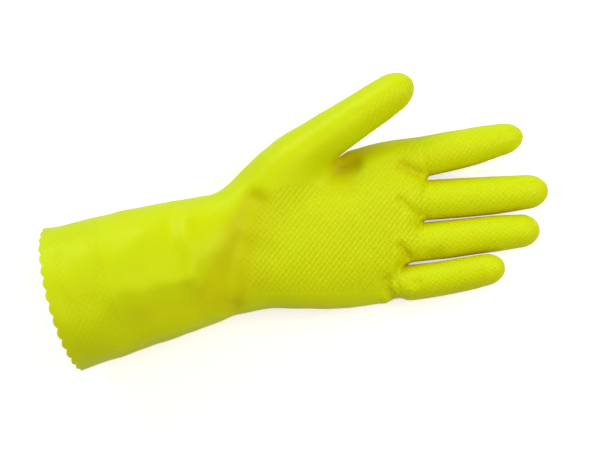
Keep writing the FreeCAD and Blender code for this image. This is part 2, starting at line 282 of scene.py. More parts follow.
# ================================================================ the digits
class Digit(Table):
    def __init__(self, stations, cap):
        super().__init__(stations, DIGIT_COLUMNS)
        self.cap = cap
        heading = self.slope[:, :3].copy()
        heading[:, 0] = 1
        self.stretch = np.linalg.norm(heading, axis=1)
        self.along = heading / self.stretch[:, None]
        self.line = self.rows[:, :3]
        tip = self.line[-1] + self.along[-1] * cap
        radius = self.rows[:, 3:5].max()
        self.low = np.minimum(self.line.min(0), tip) - radius - 14
        self.high = np.maximum(self.line.max(0), tip) + radius + 14

    def local(self, points):
        """As arm_local, along this digit."""
        x, y, z = points
        middle = len(self.rows) // 2
        mid_x, mid_y, mid_z = self.line[middle]
        dir_x, dir_y, dir_z = self.along[middle]
        ahead = (x - mid_x) * dir_x + (y - mid_y) * dir_y + (z - mid_z) * dir_z
        station = np.clip(mid_x + ahead * dir_x, self.start, self.end)
        for turn in range(NEWTON_STEPS + 1):
            place = self.at(station)
            dir_x, dir_y, dir_z = lerp(self.along, place).T
            off_x = x - station
            off_y, off_z = y - lerp(self.y, place), z - lerp(self.z, place)
            ahead = off_x * dir_x + off_y * dir_y + off_z * dir_z
            if turn < NEWTON_STEPS:
                station = np.clip(station + ahead / self.stretch[place[0]], self.start, self.end)
        level_length = np.hypot(dir_x, dir_y)
        side_x, side_y = -dir_y / level_length, dir_x / level_length
        side = off_x * side_x + off_y * side_y
        up = (off_x * (-dir_z * side_y) + off_y * (dir_z * side_x)
              + off_z * (dir_x * side_y - dir_y * side_x))
        return station, side, up, ahead, place

    def field(self, points):
        _, side, up, ahead, place = self.local(points)
        width, thick = lerp(self.half_width, place), lerp(self.half_thick, place)
        part_side, part_up = side / width, up / thick
        radius2 = part_side * part_side + part_up * part_up
        cap = np.where(ahead > 0, self.cap, 10.0)    # 10 mm rounding at the root end
        past = ahead / cap
        whole = np.sqrt(radius2 + past * past) + 1e-9
        slope2 = (part_side * part_side / (width * width) + part_up * part_up / (thick * thick)
                  + past * past / (cap * cap)) / (whole * whole)
        return (whole - 1) / np.sqrt(slope2 + 1e-9)

    def near(self, points):
        return ((points > self.low[:, None]) & (points < self.high[:, None])).all(0)


DIGIT = {name: Digit(*shape) for name, shape in DIGIT_STATIONS.items()}


def digit_fields(points, names):
    fields = {}
    for name in names:
        values = np.full(points.shape[1], FAR)
        near = DIGIT[name].near(points)
        if near.any():
            values[near] = np.minimum(DIGIT[name].field(points[:, near]), FAR)
        fields[name] = values
    return fields


# ================================================================ bend zones and seams
def unit(vector):
    vector = np.array(vector, float)
    return vector / np.linalg.norm(vector)


def level(degrees):
    """Horizontal direction at an angle from +X."""
    return (math.cos(math.radians(degrees)), math.sin(math.radians(degrees)), 0)


class Zone:
    """A bend zone: the joint's point, direction along the limb, lengths before and after."""
    def __init__(self, joint_name, direction, before, after):
        joint = JOINT[joint_name]
        self.parent, self.child = joint["parent"], joint["child"]
        self.point = np.array(joint["pos_m"], float) * 1000
        self.direction = unit(direction)
        self.before, self.after = before, after

    def start(self, gap=0.0):
        return self.point - self.direction * self.before - self.direction * gap

    def end(self, gap=0.0):
        return self.point + self.direction * self.after + self.direction * gap


ZONE = {
    "turn": Zone("wrist_turn", level(15.5), before=10.6, after=10.6),
    "fold": Zone("wrist_fold", level(14.0), before=15.4, after=15.4),
    "knuckle": Zone("knuckle_fold", level(-10.0), before=9.0, after=8.5),
}
# half lengths of the zones at each digit's base, middle and tip
ZONE_HALF = {
    "index": (5.5, 8.2, 5.4), "middle": (6.0, 8.4, 5.8), "ring": (5.5, 8.2, 5.6),
    "little": (4.9, 7.4, 5.0), "thumb": (4.6, 6.2, 7.4),
}
for digit in DIGIT_NAMES:
    for part, half in zip(DIGIT_PARTS, ZONE_HALF[digit]):
        joint_name = f"{digit}_{part}_fold"
        if joint_name == "thumb_base_fold":
            # the frame may name the thumb's swinging joint either way
            joint_name = "thumb_base_swing" if "thumb_base_swing" in JOINT else "thumb_swing"
        index, _ = DIGIT[digit].at(np.array([float(JOINT[joint_name]["pos_m"][0] * 1000)]))
        ZONE[f"{digit}_{part}"] = Zone(joint_name, DIGIT[digit].along[index[0]], half, half)


def between(first, second):
    """The seam halfway between two zones' ends."""
    return (first.end() + second.start()) / 2, unit(first.direction + second.direction)


ZONE_GAP, ROOT_GAP = 1.0, 0.8    # from a seam to its zone, on the arm and on the digits

# seam planes: point, unit normal towards the fingertips
SEAM = {
    "cuff": (ZONE["turn"].start(ZONE_GAP), unit(ZONE["turn"].direction)),
    "wrist": between(ZONE["turn"], ZONE["fold"]),
    "palm": (ZONE["fold"].end(ZONE_GAP), unit(ZONE["fold"].direction)),
    "knuckle": (ZONE["knuckle"].start(ZONE_GAP), unit(ZONE["knuckle"].direction)),
}
ROOT = {}
for digit in DIGIT_NAMES:
    base, middle, tip = [ZONE[f"{digit}_{part}"] for part in DIGIT_PARTS]
    ROOT[digit] = (base.start(ROOT_GAP), base.direction)
    SEAM[digit + "_root"] = (base.start(ROOT_GAP), unit(base.direction))
    SEAM[digit + "_lower"] = between(base, middle)
    SEAM[digit + "_upper"] = between(middle, tip)


def beyond(points, name):
    """How far points are past the seam plane at a digit's root."""
    centre, normal = ROOT[name]
    return ((points[0] - centre[0]) * normal[0] + (points[1] - centre[1]) * normal[1]
            + (points[2] - centre[2]) * normal[2])


# ================================================================ folds, waves and the whole field
def polyline_distance2(x, y, line):
    """Squared distance to a polyline in plan."""
    best = np.full(x.shape, 1e9)
    for (from_x, from_y), (to_x, to_y) in zip(line, line[1:]):
        run_x, run_y = to_x - from_x, to_y - from_y
        t = ((x - from_x) * run_x + (y - from_y) * run_y) / (run_x * run_x + run_y * run_y)
        t = np.clip(t, 0, 1)
        best = np.minimum(best, (x - from_x - t * run_x) ** 2 + (y - from_y - t * run_y) ** 2)
    return best


def folds(points):
    """How far the folds push the surface in."""
    x, y, z = points
    push = np.zeros(x.shape)
    for line, depth, width, lowest, fade in FOLDS:
        low = np.array(line).min(0) - FOLD_REACH * width
        high = np.array(line).max(0) + FOLD_REACH * width
        near = (x > low[0]) & (x < high[0]) & (y > low[1]) & (y < high[1]) & (z > lowest)
        if near.any():
            distance2 = polyline_distance2(x[near], y[near], line)
            push[near] += (depth * np.exp(-distance2 / (2 * width * width))
                           * smooth(z[near], lowest, lowest + fade))
    return push


def waves(points):
    """The undulation, strongest on the cuff and weakest on the fingers."""
    x, y, z = points
    total = np.zeros(points.shape[1])
    for (rate_x, rate_y, rate_z), phase, height in WAVES:
        total += height * np.sin(x * rate_x * WAVE_RATE + y * rate_y * WAVE_RATE
                                 + z * rate_z * WAVE_RATE + phase)
    return total * (0.35 + 0.65 * smooth(-x, 20, 70) - 0.22 * smooth(x, 34, 50))


def field(points, layer, names, stubs):
    """Distance from the glove's outer surface (negative inside); layer shrinks it inwards.
    Only the named digits count. With stubs, the fingers end just past their root seams."""
    x, z = points[0], points[2]
    whole = arm_field(points) if x.min() < ARM_REACH else np.full(points.shape[1], FAR)
    digits = digit_fields(points, names)
    if "thumb" in digits:
        whole = smin(whole, digits["thumb"], THUMB_BLEND - 4.5 * smooth(x, 8, 24))
    fingers = last_past = None
    total = along = 0.0
    for name in FINGERS:
        if name not in digits:
            continue
        finger, past = digits[name], beyond(points, name)
        weight = (0.6 + np.maximum(finger, 0)) ** -3.0
        total, along = total + weight, along + weight * past
        if stubs:
            finger = np.maximum(finger, past - STUB)
        if fingers is None:
            fingers = finger
        else:
            # neighbours part just before their root seams
            web = WEB_BLEND * (1 - smooth(np.maximum(past, last_past), -2.6, -0.4))
            fingers = smin(fingers, finger, np.maximum(web, 1e-3))
        last_past = past
    if fingers is not None:
        blend = FINGER_BLEND - 4.6 * smooth(along / total, -7.0, -1.5)
        whole = smin(whole, fingers, blend)
    whole = -smin(-whole, z, FLOOR_BLEND)    # nothing below z = 0
    return whole + folds(points) + waves(points) * WAVE_HEIGHT + layer


# ================================================================ meshing
BLOCK = 8               # cells along a block of the sparse grid
FIELD_CHUNK, GRAD_CHUNK = 150000, 60000    # points evaluated at once


def nets(fn, low, high, cell):
    """Surface nets of fn == 0 in the box: vertices, and quads facing outwards."""
    low, high = np.array(low, float), np.array(high, float)
    blocks = np.maximum(1, np.ceil((high - low) / (cell * BLOCK)).astype(int))
    size = blocks * BLOCK + 1
    counts = [np.arange(count) for count in blocks]
    block = np.stack(np.meshgrid(*counts, indexing="ij"), -1).reshape(-1, 3)
    centre = low + (block + 0.5) * BLOCK * cell
    block = block[np.abs(fn(centre.T)) < BLOCK * cell * 1.25 + 1.5]
    node_used = np.zeros(size, bool)
    cell_used = np.zeros(size - 1, bool)
    for x, y, z in block * BLOCK:
        node_used[x:x + BLOCK + 1, y:y + BLOCK + 1, z:z + BLOCK + 1] = True
        cell_used[x:x + BLOCK, y:y + BLOCK, z:z + BLOCK] = True
    nodes = np.argwhere(node_used)
    values = np.empty(len(nodes), np.float32)
    for i in range(0, len(nodes), FIELD_CHUNK):
        values[i:i + FIELD_CHUNK] = fn((low + nodes[i:i + FIELD_CHUNK] * cell).T)
    grid = np.ones(size, np.float32)
    grid[node_used] = values
    grid[grid == 0] = 1e-6
    inside = grid < 0

    # one vertex per crossed cell, at the mean of its edges' crossings
    corners = [(i, j, k) for i in (0, 1) for j in (0, 1) for k in (0, 1)]
    count = sum(inside[i:size[0] - 1 + i, j:size[1] - 1 + j, k:size[2] - 1 + k].astype(np.int8)
                for i, j, k in corners)
    crossed = cell_used & (count > 0) & (count < 8)
    cells = np.argwhere(crossed)
    vertex_of = np.full(size - 1, -1, np.int32)
    vertex_of[crossed] = np.arange(len(cells))
    total, hits = np.zeros((len(cells), 3)), np.zeros(len(cells))
    value_at = {c: grid[cells[:, 0] + c[0], cells[:, 1] + c[1], cells[:, 2] + c[2]]
                for c in corners}
    for corner in corners:
        for axis in range(3):
            if corner[axis] == 0:
                other = list(corner)
                other[axis] = 1
                here, there = value_at[corner], value_at[tuple(other)]
                hit = (here < 0) != (there < 0)
                point = np.tile(np.array(corner, float), (hit.sum(), 1))
                point[:, axis] += here[hit] / (here[hit] - there[hit])
                total[hit] += point
                hits[hit] += 1
    verts = low + (cells + total / hits[:, None]) * cell

    # one quad per crossed grid edge, through the four cells around it
    quads = []
    for axis in range(3):
        second, third = (axis + 1) % 3, (axis + 2) % 3
        near, far = [slice(1, -1)] * 3, [slice(1, -1)] * 3
        near[axis], far[axis] = slice(0, -1), slice(1, None)
        offset = np.ones(3, int)
        offset[axis] = 0
        edge = np.argwhere(inside[tuple(near)] != inside[tuple(far)]) + offset
        starts_inside = inside[edge[:, 0], edge[:, 1], edge[:, 2]]
        quad = []
        for step_second, step_third in ((-1, -1), (0, -1), (0, 0), (-1, 0)):
            around = edge.copy()
            around[:, second] += step_second
            around[:, third] += step_third
            quad.append(vertex_of[around[:, 0], around[:, 1], around[:, 2]])
        quad = np.stack(quad, 1)
        whole = (quad >= 0).all(1)
        quad, starts_inside = quad[whole], starts_inside[whole]
        quad[~starts_inside] = quad[~starts_inside][:, ::-1]
        quads.append(quad)
    return verts, np.concatenate(quads)


def grad(fn, verts, reach=0.08):
    """Field value and gradient, from four points around each vertex."""
    value, slope = np.empty(len(verts)), np.empty((len(verts), 3))
    directions = np.array([(1, -1, -1), (-1, -1, 1), (-1, 1, -1), (1, 1, 1)], float)
    for i in range(0, len(verts), GRAD_CHUNK):
        some = verts[i:i + GRAD_CHUNK]
        samples = [fn((some + direction * reach).T) for direction in directions]
        value[i:i + GRAD_CHUNK] = sum(samples) / 4
        slope[i:i + GRAD_CHUNK] = sum(
            sample[:, None] * direction
            for sample, direction in zip(samples, directions)) / (4 * reach)
    return value, slope


def unit_rows(vectors):
    return vectors / np.linalg.norm(vectors, axis=1)[:, None]


def project(fn, verts, times):
    """Moves vertices onto fn == 0; also gives the normals."""
    for _ in range(times):
        value, slope = grad(fn, verts)
        verts = verts - (value / np.maximum((slope * slope).sum(1), 0.05))[:, None] * slope
    return verts, unit_rows(slope)


def triangles(quads, verts):
    """Splits quads along their shorter diagonals."""
    first = ((verts[quads[:, 0]] - verts[quads[:, 2]]) ** 2).sum(1)
    second = ((verts[quads[:, 1]] - verts[quads[:, 3]]) ** 2).sum(1)
    one, two = quads[first <= second], quads[~(first <= second)]
    return np.concatenate([one[:, [0, 1, 2]], one[:, [0, 2, 3]],
                           two[:, [0, 1, 3]], two[:, [1, 2, 3]]])


def sides(tris):
    return np.concatenate([tris[:, [0, 1]], tris[:, [1, 2]], tris[:, [2, 0]]])


def relax(fn, verts, tris, times=2):
    """Evens the mesh along the surface, then puts it back on the surface."""
    edges, uses = np.unique(np.sort(sides(tris), 1), axis=0, return_counts=True)
    boundary = np.zeros(len(verts), bool)
    boundary[edges[uses == 1].ravel()] = True
    start, end = edges.T
    degree = np.bincount(edges.ravel(), minlength=len(verts)).astype(float)
    degree[degree == 0] = 1
    for _ in range(times):
        mean = np.stack([np.bincount(start, verts[end, k], len(verts))
                         + np.bincount(end, verts[start, k], len(verts))
                         for k in range(3)], 1) / degree[:, None]
        moved = verts + 0.5 * (mean - verts)
        moved[boundary] = verts[boundary]
        verts, normals = project(fn, moved, 1)
    return verts, normals


def surface(fn, low, high, cell):
    verts, quads = nets(fn, low, high, cell)
    verts, _ = project(fn, verts, 2)
    tris = triangles(quads, verts)
    verts, normals = relax(fn, verts, tris)
    return verts, tris, normals


def snap(verts, normals, seam, cell, part=None):
    """Signed distances past the seam. Vertices very close to it are moved onto it, along the
    surface, in place. Vertices outside the mask part count as well before the seam."""
    point, normal = seam
    gap = (verts - point) @ normal
    if part is not None:
        gap = np.where(part, gap, -5.0)
    close = np.abs(gap) < 0.18 * cell
    slide = normal - (normals[close] @ normal)[:, None] * normals[close]
    verts[close] -= (gap[close] / np.maximum(slide @ normal, 0.2))[:, None] * slide
    gap[close] = 0
    return gap


def clip(verts, tris, gap):
    """Keeps the part of the mesh where gap <= 0, splitting triangles at gap == 0."""
    gap = np.where(np.abs(gap) < 1e-7, 0.0, gap)
    outside = gap > 0
    count = outside[tris].sum(1)
    kept = tris[count == 0]
    # a triangle that only touches the cut from outside goes
    kept = kept[~(gap[kept] == 0).all(1)]
    split = tris[(count > 0) & (count < 3)]
    if not len(split):
        return compact(verts, kept)
    # rotate so that the odd vertex is first
    split_out = outside[split]
    one_out = split_out.sum(1) == 1
    odd = np.where(one_out, split_out.argmax(1), (~split_out).argmax(1))
    split = np.stack([split[np.arange(len(split)), (odd + k) % 3] for k in range(3)], 1)
    pairs = np.sort(np.concatenate([split[:, [0, 1]], split[:, [0, 2]]]), 1)
    edges, inverse = np.unique(pairs, axis=0, return_inverse=True)
    start, end = edges[:, 0], edges[:, 1]
    gap_start, gap_end = gap[start], gap[end]
    t = (gap_start / (gap_start - gap_end))[:, None]
    points = verts[start] * (1 - t) + verts[end] * t
    # an edge that ends exactly on the cut uses that vertex
    new_ids = len(verts) + np.arange(len(edges))
    ids = np.where(gap_start == 0, start, np.where(gap_end == 0, end, new_ids))
    first, second = ids[inverse.ravel()].reshape(2, -1)
    two_out = ~one_out
    verts = np.concatenate([verts, points])
    tris = np.concatenate([
        kept,
        np.stack([first, split[:, 1], split[:, 2]], 1)[one_out],
        np.stack([first, split[:, 2], second], 1)[one_out],
        np.stack([split[:, 0], first, second], 1)[two_out]])
    good = ((tris[:, 0] != tris[:, 1]) & (tris[:, 1] != tris[:, 2])
            & (tris[:, 2] != tris[:, 0]))
    return compact(verts, tris[good])


def compact(verts, tris):
    """Drops unused vertices."""
    used = np.zeros(len(verts), bool)
    used[tris.ravel()] = True
    new_id = np.cumsum(used) - 1
    return verts[used], new_id[tris]


def components(vertex_count, tris):
    """Label of each triangle's connected part."""
    label = np.arange(vertex_count)
    while True:
        lowest = label[tris].min(1)
        new = label.copy()
        for k in range(3):
            np.minimum.at(new, tris[:, k], lowest)
        new = new[new]
        if (new == label).all():
            return label[tris[:, 0]]
        label = new


def drop_crumbs(verts, tris, least=40):
    label = components(len(verts), tris)
    labels, counts = np.unique(label, return_counts=True)
    return compact(verts, tris[np.isin(label, labels[counts >= least])])


def loops(tris):
    """Boundary loops, each in the direction its faces run."""
    edges = sides(tris)
    big = int(tris.max()) + 1
    key = edges[:, 0].astype(np.int64) * big + edges[:, 1]
    reverse = edges[:, 1].astype(np.int64) * big + edges[:, 0]
    boundary = edges[~np.isin(key, reverse)]
    following = dict(zip(boundary[:, 0].tolist(), boundary[:, 1].tolist()))
    found = []
    while following:
        start = next(iter(following))
        loop = [start]
        current = following.pop(start)
        while current != start and current in following:
            loop.append(current)
            current = following.pop(current)
        found.append(np.array(loop))
    return [loop for loop in found if len(loop) > 5]


def running_share(points):
    """Share of the whole length reached at each point of a line."""
    steps = np.linalg.norm(np.diff(points, axis=0), axis=1)
    run = np.concatenate([[0], np.cumsum(steps)])
    return run / run[-1]


def zipper(verts, outer, inner):
    """Triangles between an outer surface's boundary loop and the inner one's, same turn."""
    inner = np.roll(inner, -np.argmin(((verts[inner] - verts[outer[0]]) ** 2).sum(1)))
    outer_share = running_share(verts[np.append(outer, outer[0])])
    inner_share = running_share(verts[np.append(inner, inner[0])])
    # match the inner loop's shares to the outer's by nearest points
    near = np.array([np.argmin(((verts[outer] - point) ** 2).sum(1)) for point in verts[inner]])
    want = outer_share[near].copy()
    want[0] = 0
    for k in range(1, len(inner)):
        want[k] = max(want[k], want[k - 1])
        if abs(want[k] - inner_share[k]) > 0.08:
            want[k] = max(want[k - 1], min(inner_share[k], 1.0))
    want = np.append(np.clip(want, 0, 1), 1.0)
    tris = []
    i = j = 0
    outer_count, inner_count = len(outer), len(inner)
    while i < outer_count or j < inner_count:
        here, there = outer[i % outer_count], inner[j % inner_count]
        if j >= inner_count or (i < outer_count and outer_share[i + 1] <= want[j + 1]):
            i += 1
            tris.append((outer[i % outer_count], here, there))
        else:
            j += 1
            tris.append((there, inner[j % inner_count], here))
    return tris


# ================================================================ scalloped mouth
MOUTH_FORWARD = np.array(level(MOUTH_HEADING))
lean = math.radians(MOUTH_LEAN)
MOUTH_NORMAL = MOUTH_FORWARD * math.cos(lean) + np.array([0, 0, 1]) * math.sin(lean)
MOUTH_UP = np.array([0, 0, 1]) * math.cos(lean) - MOUTH_FORWARD * math.sin(lean)
MOUTH_SIDE = np.array([-MOUTH_FORWARD[1], MOUTH_FORWARD[0], 0])
ELLIPSE_ANGLE = np.linspace(-math.pi, math.pi, 4001)
ELLIPSE_SHARE = running_share(np.stack([MOUTH_HALF_WIDTH * np.cos(ELLIPSE_ANGLE),
                                        MOUTH_HALF_HEIGHT * np.sin(ELLIPSE_ANGLE)], 1))


def mouth_edge(verts):
    """Positive where a point is beyond the scalloped edge."""
    offset = verts - MOUTH_CENTRE
    angle = np.arctan2(offset @ MOUTH_UP / MOUTH_HALF_HEIGHT,
                       offset @ MOUTH_SIDE / MOUTH_HALF_WIDTH)
    share = np.interp(angle, ELLIPSE_ANGLE, ELLIPSE_SHARE)
    lobe = np.abs(np.sin(math.pi * (share * SCALLOPS)))
    return SCALLOP_DEPTH * (1 - lobe ** 0.8) - offset @ MOUTH_NORMAL


# ================================================================ grip pattern
# outline (x, y) of the patterned area of the palm
PALM_GRIP = np.array([
    (-50, -2), (-46, 12), (-41.5, 21.4), (-34, 26.5), (-27.5, 29.3), (-15.3, 31.1), (-5, 29.5),
    (4, 28.5), (14, 32), (24, 39), (34, 46), (44, 54), (75, 62), (75, -28), (60, -39),
    (35, -36), (10, -35), (-20, -35), (-40, -35), (-49, -32), (-52, -15)], float)
PITCH_PALM, PITCH_FINGER, PITCH_CUFF = 2.66, 2.62, 2.86
DEPTH_PALM, DEPTH_FINGER, DEPTH_CUFF = 0.15, 0.12, 0.08
# angles of the two sets of grooves, degrees
SLANT_PALM, SLANT_FINGER, SLANT_CUFF = (53, -42), (42.5, -42.5), (45, -45)
FINGER_RADIUS = 11.2                  # turns angle round a digit into arc length
FINGER_STRETCH = 1.03                 # pattern length per length along a digit
THUMB_TURN = math.radians(46)         # the thumb's pattern is turned round its axis
GRIP_HALF, THUMB_GRIP_HALF = 1.42, 1.05    # half angles covered, radians


def polygon_distance(x, y, polygon):
    """Signed distance to a polygon, positive inside."""
    best = polyline_distance2(x, y, np.vstack([polygon, polygon[:1]]))
    inside = np.zeros(x.shape, bool)
    for (from_x, from_y), (to_x, to_y) in zip(polygon, np.roll(polygon, -1, axis=0)):
        spans = (from_y > y) != (to_y > y)
        with np.errstate(divide="ignore", invalid="ignore"):
            crossing = (to_x - from_x) * (y - from_y) / (to_y - from_y) + from_x
        inside ^= spans & (x < crossing)
    return np.where(inside, 1, -1) * np.sqrt(best)


def hatch(along, across, slants, pitch):
    """Coordinates, in pitches, across the two sets of grooves."""
    return [(-along * math.sin(angle) + across * math.cos(angle)) / pitch
            for angle in map(math.radians, slants)]


def digit_grip(points, name):
    digit = DIGIT[name]
    station, side, up, ahead, place = digit.local(points)
    angle = np.arctan2(side / lerp(digit.half_width, place), up / lerp(digit.half_thick, place))
    along = np.where(ahead > 0, station + ahead, station)
    if name == "thumb":
        angle = angle + THUMB_TURN
        half, start = THUMB_GRIP_HALF, smooth(along, 15, 19)
    else:
        half, start = GRIP_HALF, smooth(beyond(points, name), 0.1, 0.8)
    depth = DEPTH_FINGER * smooth(half - np.abs(angle), 0.0, 0.12) * start
    # the very end is smooth
    depth = depth * smooth(digit.cap * 0.86 - ahead, 0, 2.5)
    length, arc = along * FINGER_STRETCH, angle * FINGER_RADIUS
    return *hatch(length, arc, SLANT_FINGER, PITCH_FINGER), depth


def palm_grip(points, normals):
    x, y, z = points
    depth = (DEPTH_PALM * smooth(polygon_distance(x, y, PALM_GRIP), -0.6, 1.2)
             * smooth(normals[:, 2], 0.12, 0.3) * smooth(z, 17, 20))
    # it fades out before the seams at the finger roots
    for name in FINGERS:
        near = np.abs(DIGIT[name].field(points)) < 2.5
        depth = np.where(near, depth * smooth(-beyond(points, name), 0.1, 0.8), depth)
    return *hatch(x, y, SLANT_PALM, PITCH_PALM), depth


def cuff_grip(points):
    """A patterned rectangle on the upper side of the cuff, with a plain window in it."""
    inward = (points.T - MOUTH_CENTRE) @ MOUTH_NORMAL
    _, side, up, _, place = arm_local(points)
    width, thick = lerp(ARM.half_width, place), lerp(ARM.half_thick, place)
    arc = np.arctan2(side / width, up / thick) * 0.5 * (width + thick)

    def inside(inward_low, inward_high, arc_low, arc_high):
        edge = np.minimum(np.minimum(inward - inward_low, inward_high - inward),
                          np.minimum(arc - arc_low, arc_high - arc))
        return smooth(edge, -0.3, 0.6)

    depth = (DEPTH_CUFF * inside(8.0, 36.0, -37.0, 42.0)
             * (1 - inside(12.5, 29.0, -1.0, 33.0)) * smooth(up, 0, 4))
    return *hatch(inward, arc, SLANT_CUFF, PITCH_CUFF), depth


def grip(verts, normals, pattern):
    """Pattern coordinates (in pitches) and groove depth; pattern is palm, cuff or a digit."""
    if pattern == "palm":
        return palm_grip(verts.T, normals)
    if pattern == "cuff":
        return cuff_grip(verts.T)
    return digit_grip(verts.T, pattern)


def relief(first, second, depth):
    """Height of the grooved surface, zero or below; the second set is shallower."""
    groove = (0.5 + 0.5 * np.cos(2 * math.pi * first)) ** 2
    other = 0.65 * (0.5 + 0.5 * np.cos(2 * math.pi * second)) ** 2
    return -depth * (groove + other - groove * other)


# ================================================================ regions and their pieces
BOX = {"arm": ((-186, -98, -3), (-36, 62, 74)), "palm": ((-62, -60, -3), (72, 82, 58))}

# per region: pieces in order from the cuff outwards, each with the seam that ends it
PIECES = {
    "arm": [("cuff", "cuff"), ("wrist_turn_part", "wrist"), ("wrist_fold_part", None)],
    "palm": [("palm", "knuckle"), ("knuckles", None)],
}
for digit in DIGIT_NAMES:
    PIECES[digit] = [(digit + "_base", digit + "_lower"), (digit + "_middle", digit + "_upper"),
                     (digit + "_tip", None)]

# cell sizes of the outer surfaces and of the three inner ones
OUTER_CELL = {"arm": 0.66, "palm": 0.62, "index": 0.46, "middle": 0.46, "ring": 0.46,
              "little": 0.46, "thumb": 0.50}
INNER_CELL = 1.25


def digit_box(name):
    """Box round a digit from a little before its root seam."""
    digit = DIGIT[name]
    kept = digit.rows[:, 0] >= ZONE[name + "_base"].start(2.5)[0] - 9
    tip = digit.line[-1] + digit.along[-1] * (digit.cap + 1)
    radius = digit.rows[kept][:, 3:5].max() + 3
    low = np.minimum(digit.line[kept].min(0) - radius, tip - 3)
    high = np.maximum(digit.line[kept].max(0) + radius, tip + 3)
    low[2] = max(low[2], -3)
    return low, high


def cut_off_digits(fn, verts, tris, cell):
    """Cuts the palm at the digits' root seams and drops what is left beyond them."""
    for k, name in enumerate(DIGIT_NAMES):
        fields = digit_fields(verts.T, DIGIT_NAMES)
        nearest = np.stack(list(fields.values()), 1).argmin(1)
        own = (nearest == k) & (np.abs(fields[name]) < 4.0)
        _, normals = project(fn, verts, 1)
        gap = snap(verts, normals, SEAM[name + "_root"], cell, own)
        verts, tris = clip(verts, tris, gap)
    label = components(len(verts), tris)
    labels, counts = np.unique(label, return_counts=True)
    return compact(verts, tris[label == labels[counts.argmax()]])


def region_mesh(region, layer, cell):
    """One region's surface at an offset, cut at the region's own limits, and its field."""
    names = {"arm": ["thumb"], "palm": DIGIT_NAMES}.get(region, [region])

    def fn(points):
        return field(points, layer, names, region == "palm")

    low, high = BOX[region] if region in BOX else digit_box(region)
    verts, tris, normals = surface(fn, low, high, cell)
    seam = SEAM["palm"] if region in BOX else SEAM[region + "_root"]
    gap = snap(verts, normals, seam, cell)
    if region == "arm":
        verts, tris = clip(verts, tris, gap)
        verts, tris = clip(verts, tris, mouth_edge(verts))
    elif region == "palm":
        verts, tris = clip(verts, tris, -gap)
        verts, tris = cut_off_digits(fn, verts, tris, cell)
    else:
        verts, tris = clip(verts, tris, -gap)
        # keep the part that holds the tip
        label = components(len(verts), tris)
        to_tip = ((verts[tris[:, 0]] - DIGIT[region].line[-1]) ** 2).sum(1)
        verts, tris = compact(verts, tris[label == label[np.argmin(to_tip)]])
    return *drop_crumbs(verts, tris), fn


def region_pieces(region, layer, cell):
    """{piece: (vertices, triangles, field)} of one region, cut at its inner seams."""
    verts, tris, fn = region_mesh(region, layer, cell)
    pieces = {}
    for piece, seam in PIECES[region]:
        if seam is None:
            pieces[piece] = (verts, tris, fn)
        else:
            _, normals = project(fn, verts, 1)
            gap = snap(verts, normals, SEAM[seam], cell)
            pieces[piece] = (*clip(verts, tris, gap), fn)
            verts, tris = clip(verts, tris, -gap)
    return pieces


# ================================================================ making the pieces
def engrave(verts, normals, pattern, reach=0.12):
    """Presses the pattern into the surface; gives vertices, normals and pattern values."""
    values = grip(verts, normals, pattern)
    helper = np.where(np.abs(normals[:, [0]]) < 0.7, [[1.0, 0, 0]], [[0, 1.0, 0]])
    tangent = unit_rows(np.cross(normals, helper))
    tilted = normals
    for direction in (tangent, np.cross(normals, tangent)):
        ahead = relief(*grip(verts + direction * reach, normals, pattern))
        behind = relief(*grip(verts - direction * reach, normals, pattern))
        tilted = tilted - direction * ((ahead - behind) / (2 * reach))[:, None]
    return verts + normals * relief(*values)[:, None], unit_rows(tilted), np.stack(values, 1)


def join_rims(verts, outer_tris, inner_tris):
    """Triangles that close the gap between the two surfaces' boundary loops."""
    rim = []
    inner_loops = loops(inner_tris)
    for loop in loops(outer_tris):
        centre = verts[loop].mean(0)
        nearest = min(inner_loops, key=lambda other: np.linalg.norm(verts[other].mean(0) - centre))
        rim += zipper(verts, loop, nearest[::-1])
    return np.array(rim, int).reshape(-1, 3)


def add_attribute(mesh, name, kind, key, values):
    attribute = mesh.attributes.new(name, kind, "POINT")
    attribute.data.foreach_set(key, values.astype(np.float32).ravel())


